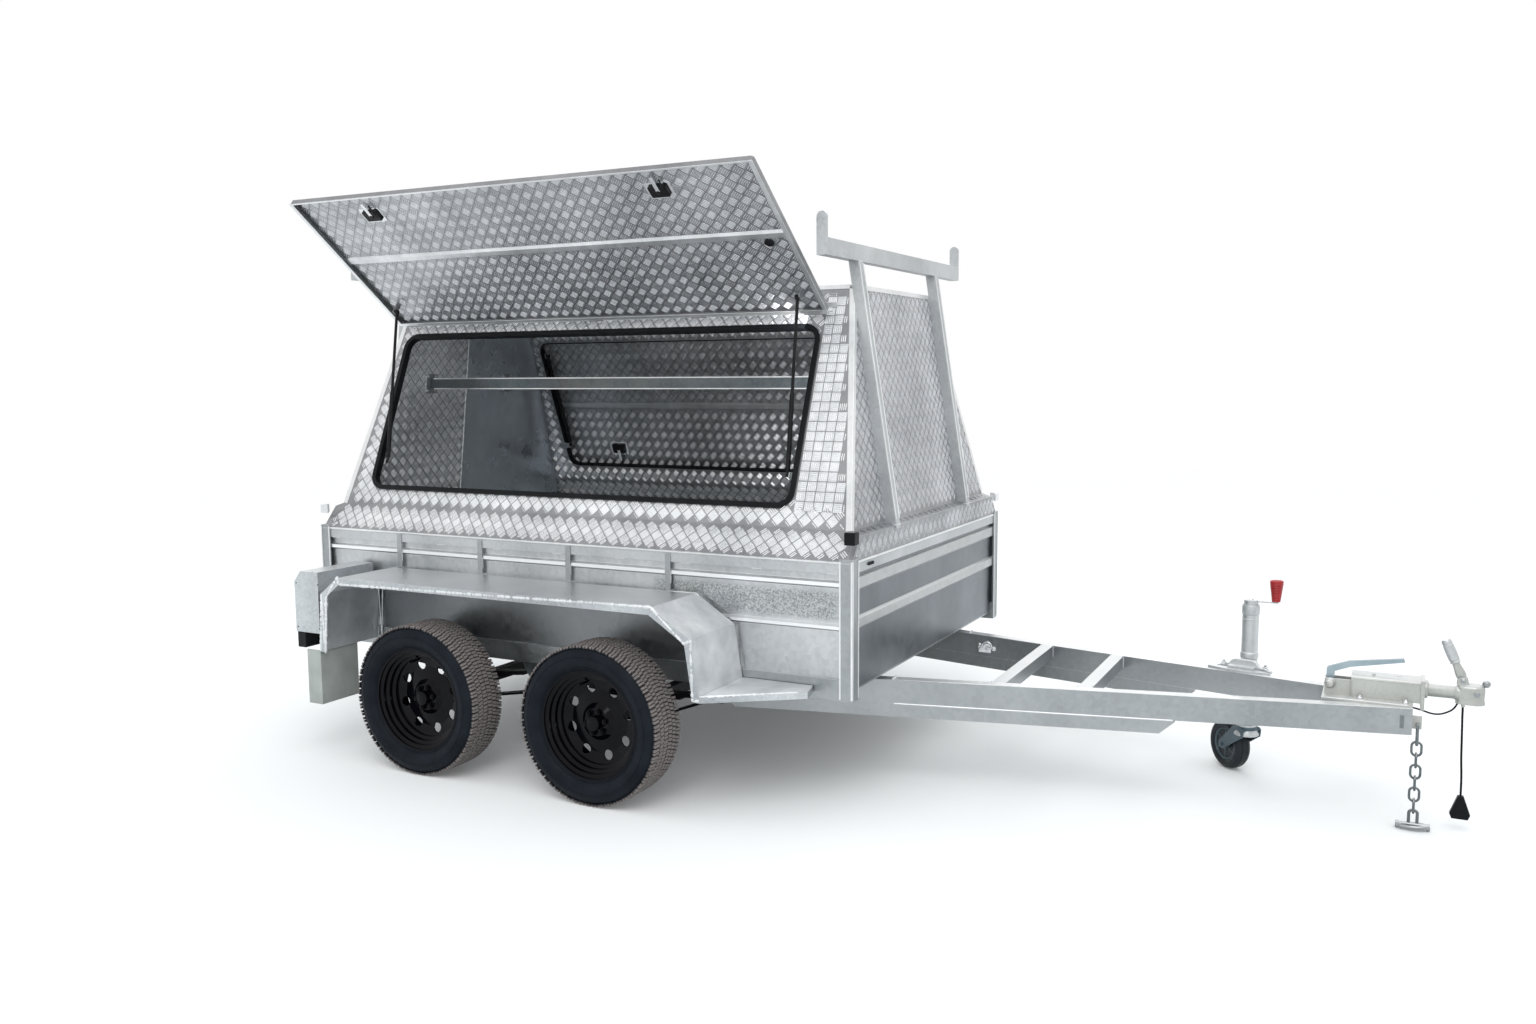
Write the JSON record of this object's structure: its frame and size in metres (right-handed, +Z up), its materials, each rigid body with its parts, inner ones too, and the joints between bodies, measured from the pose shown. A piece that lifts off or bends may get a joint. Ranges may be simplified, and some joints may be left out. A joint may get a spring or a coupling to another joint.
{
  "type": "tandem-axle canopy trailer",
  "caption": "Galvanised tandem-axle box trailer with a sloped tread-plate canopy, one gull-wing side door raised, ladder racks and a drawbar on a jockey wheel.",
  "frame": {"origin": "on the ground under the middle of the overall length and width", "axes": "+X forward to the drawbar, +Y to the left, +Z up"},
  "size_m": [4.494, 2.326, 2.2597],
  "materials": {
    "black_paint": "satin",
    "black_plastic": "satin",
    "black_rim": "gloss black",
    "blue_lever": "satin",
    "bright_rod": "polished",
    "cast_coupling": "zinc plated",
    "galvanised_steel": "hot-dip galvanised, fine spangle",
    "lamp_lens": "gloss",
    "pale_plastic": "matt",
    "plain_aluminium": "mill finish",
    "red_grip": "satin",
    "seal_rubber": "matt",
    "tread_plate": "bright checker plate",
    "tyre_rubber": "matt"
  },
  "bodies": {
    "trailer": {"axles": "black_paint", "canopy_front_wall": "tread_plate", "canopy_rear_wall": "tread_plate", "canopy_roof": "tread_plate", "canopy_sides": "tread_plate", "chassis_side_rails": "galvanised_steel", "corner_caps": "black_plastic", "coupling_body": "cast_coupling", "coupling_plate": "galvanised_steel", "cross_members": "galvanised_steel", "door_hinges": "plain_aluminium", "door_seals": "seal_rubber", "drawbar_doublers": "galvanised_steel", "drawbar_rails": "galvanised_steel", "inner_bar": "plain_aluminium", "jockey_bracket": "galvanised_steel", "ladder_racks": "plain_aluminium", "leaf_springs": "black_paint", "light_boxes": "galvanised_steel", "mudflaps": "pale_plastic", "mudguards": "galvanised_steel", "radius_rods": "black_paint", "safety_chain": "galvanised_steel", "side_posts": "galvanised_steel", "spring_hangers": "black_paint", "steps": "galvanised_steel", "strut_anchors": "plain_aluminium", "tail_lamps": "lamp_lens", "tailgate_hinges": "galvanised_steel", "top_rails": "galvanised_steel", "tub_floor": "galvanised_steel", "tub_front_panel": "galvanised_steel", "tub_sides": "galvanised_steel"},
    "wheel_front_right": {"tyre_rf": "tyre_rubber", "rim_rf": "black_rim"},
    "wheel_rear_right": {"tyre_rr": "tyre_rubber", "rim_rr": "black_rim"},
    "wheel_front_left": {"tyre_lf": "tyre_rubber", "rim_lf": "black_rim"},
    "wheel_rear_left": {"tyre_lr": "tyre_rubber", "rim_lr": "black_rim"},
    "door_right": {"door_right": "tread_plate"},
    "door_left": {"door_left": "tread_plate"},
    "strut_tubes_right": {"strut_tubes_right": "black_paint"},
    "strut_tubes_left": {"strut_tubes_left": "black_paint"},
    "strut_rods_right": {"strut_rods_right": "bright_rod"},
    "strut_rods_left": {"strut_rods_left": "bright_rod"},
    "tailgate": {"tailgate": "galvanised_steel"},
    "jockey_tube": {"jockey_tube": "galvanised_steel"},
    "jockey_leg": {"jockey_leg": "galvanised_steel"},
    "jockey_fork": {"jockey_fork": "galvanised_steel"},
    "jockey_wheel": {"jockey_wheel": "black_plastic"},
    "jockey_crank": {"jockey_crank": "galvanised_steel", "jockey_grip": "red_grip"},
    "brake_lever": {"brake_lever": "blue_lever"},
    "coupling_head": {"coupling_head": "cast_coupling", "lead_cord": "seal_rubber", "lead_plug": "seal_rubber"},
    "coupling_handle": {"coupling_handle": "cast_coupling"}
  },
  "joints": [
    {"name": "wheel_front_right_spin", "type": "hinge", "parent": "trailer", "child": "wheel_front_right", "pos_m": [-0.624, -1.053, 0.298], "axis": [0, 1, 0], "continuous": true},
    {"name": "wheel_rear_right_spin", "type": "hinge", "parent": "trailer", "child": "wheel_rear_right", "pos_m": [-1.438, -1.053, 0.298], "axis": [0, 1, 0], "continuous": true},
    {"name": "wheel_front_left_spin", "type": "hinge", "parent": "trailer", "child": "wheel_front_left", "pos_m": [-0.624, 1.053, 0.298], "axis": [0, 1, 0], "continuous": true},
    {"name": "wheel_rear_left_spin", "type": "hinge", "parent": "trailer", "child": "wheel_rear_left", "pos_m": [-1.438, 1.053, 0.298], "axis": [0, 1, 0], "continuous": true},
    {"name": "door_right_lift", "type": "hinge", "parent": "trailer", "child": "door_right", "pos_m": [0, -0.46447, 1.78146], "axis": [-1, 0, 0], "range_deg": [-106, 0]},
    {"name": "strut_right_swing", "type": "hinge", "parent": "trailer", "child": "strut_tubes_right", "pos_m": [0, -0.66851, 1.18989], "axis": [1, 0, 0], "range_deg": [-13.53, 0]},
    {"name": "strut_right_stroke", "type": "slide", "parent": "strut_tubes_right", "child": "strut_rods_right", "axis": [0, 0.1373, 0.9905], "range_m": [-0.15164, 0]},
    {"name": "door_left_lift", "type": "hinge", "parent": "trailer", "child": "door_left", "pos_m": [0, 0.46447, 1.78146], "axis": [1, 0, 0], "range_deg": [0, 106]},
    {"name": "strut_left_swing", "type": "hinge", "parent": "trailer", "child": "strut_tubes_left", "pos_m": [0, 0.66851, 1.18989], "axis": [-1, 0, 0], "range_deg": [0, 13.53]},
    {"name": "strut_left_stroke", "type": "slide", "parent": "strut_tubes_left", "child": "strut_rods_left", "axis": [0, -0.3651, 0.931], "range_m": [0, 0.15164]},
    {"name": "tailgate_drop", "type": "hinge", "parent": "trailer", "child": "tailgate", "pos_m": [-2.24, 0, 0.49], "axis": [0, -1, 0], "range_deg": [0, 178]},
    {"name": "jockey_swing", "type": "hinge", "parent": "trailer", "child": "jockey_tube", "pos_m": [1.4592, 0.28815, 0.42], "axis": [-0.2164, -0.9763, 0], "range_deg": [0, 90]},
    {"name": "jockey_extend", "type": "slide", "parent": "jockey_tube", "child": "jockey_leg", "axis": [0, 0, -1], "range_m": [0, 0.2]},
    {"name": "jockey_castor", "type": "hinge", "parent": "jockey_leg", "child": "jockey_fork", "pos_m": [1.4592, 0.28815, 0.1955], "axis": [0, 0, 1], "continuous": true},
    {"name": "jockey_wheel_spin", "type": "hinge", "parent": "jockey_fork", "child": "jockey_wheel", "pos_m": [1.39294, 0.36305, 0.098], "axis": [0.749, 0.6626, 0], "continuous": true},
    {"name": "jockey_crank_turn", "type": "hinge", "parent": "jockey_tube", "child": "jockey_crank", "pos_m": [1.4592, 0.28815, 0.672], "axis": [0, 0, 1], "continuous": true},
    {"name": "brake_lever_pull", "type": "hinge", "parent": "trailer", "child": "brake_lever", "pos_m": [1.758, 0, 0.47], "axis": [0, -1, 0], "range_deg": [0, 62]},
    {"name": "coupling_override", "type": "slide", "parent": "trailer", "child": "coupling_head", "axis": [1, 0, 0], "range_m": [-0.075, 0]},
    {"name": "coupling_release", "type": "hinge", "parent": "coupling_head", "child": "coupling_handle", "pos_m": [2.163, 0, 0.518], "axis": [0, 1, 0], "range_deg": [0, 45]}
  ],
  "couplings": [
    {"joint": "strut_right_swing", "follows": "door_right_lift", "ratio": 0.12757},
    {"joint": "strut_right_stroke", "follows": "door_right_lift", "m_per_rad": 0.081909},
    {"joint": "strut_left_swing", "follows": "door_left_lift", "ratio": 0.12757},
    {"joint": "strut_left_stroke", "follows": "door_left_lift", "m_per_rad": 0.081909}
  ]
}
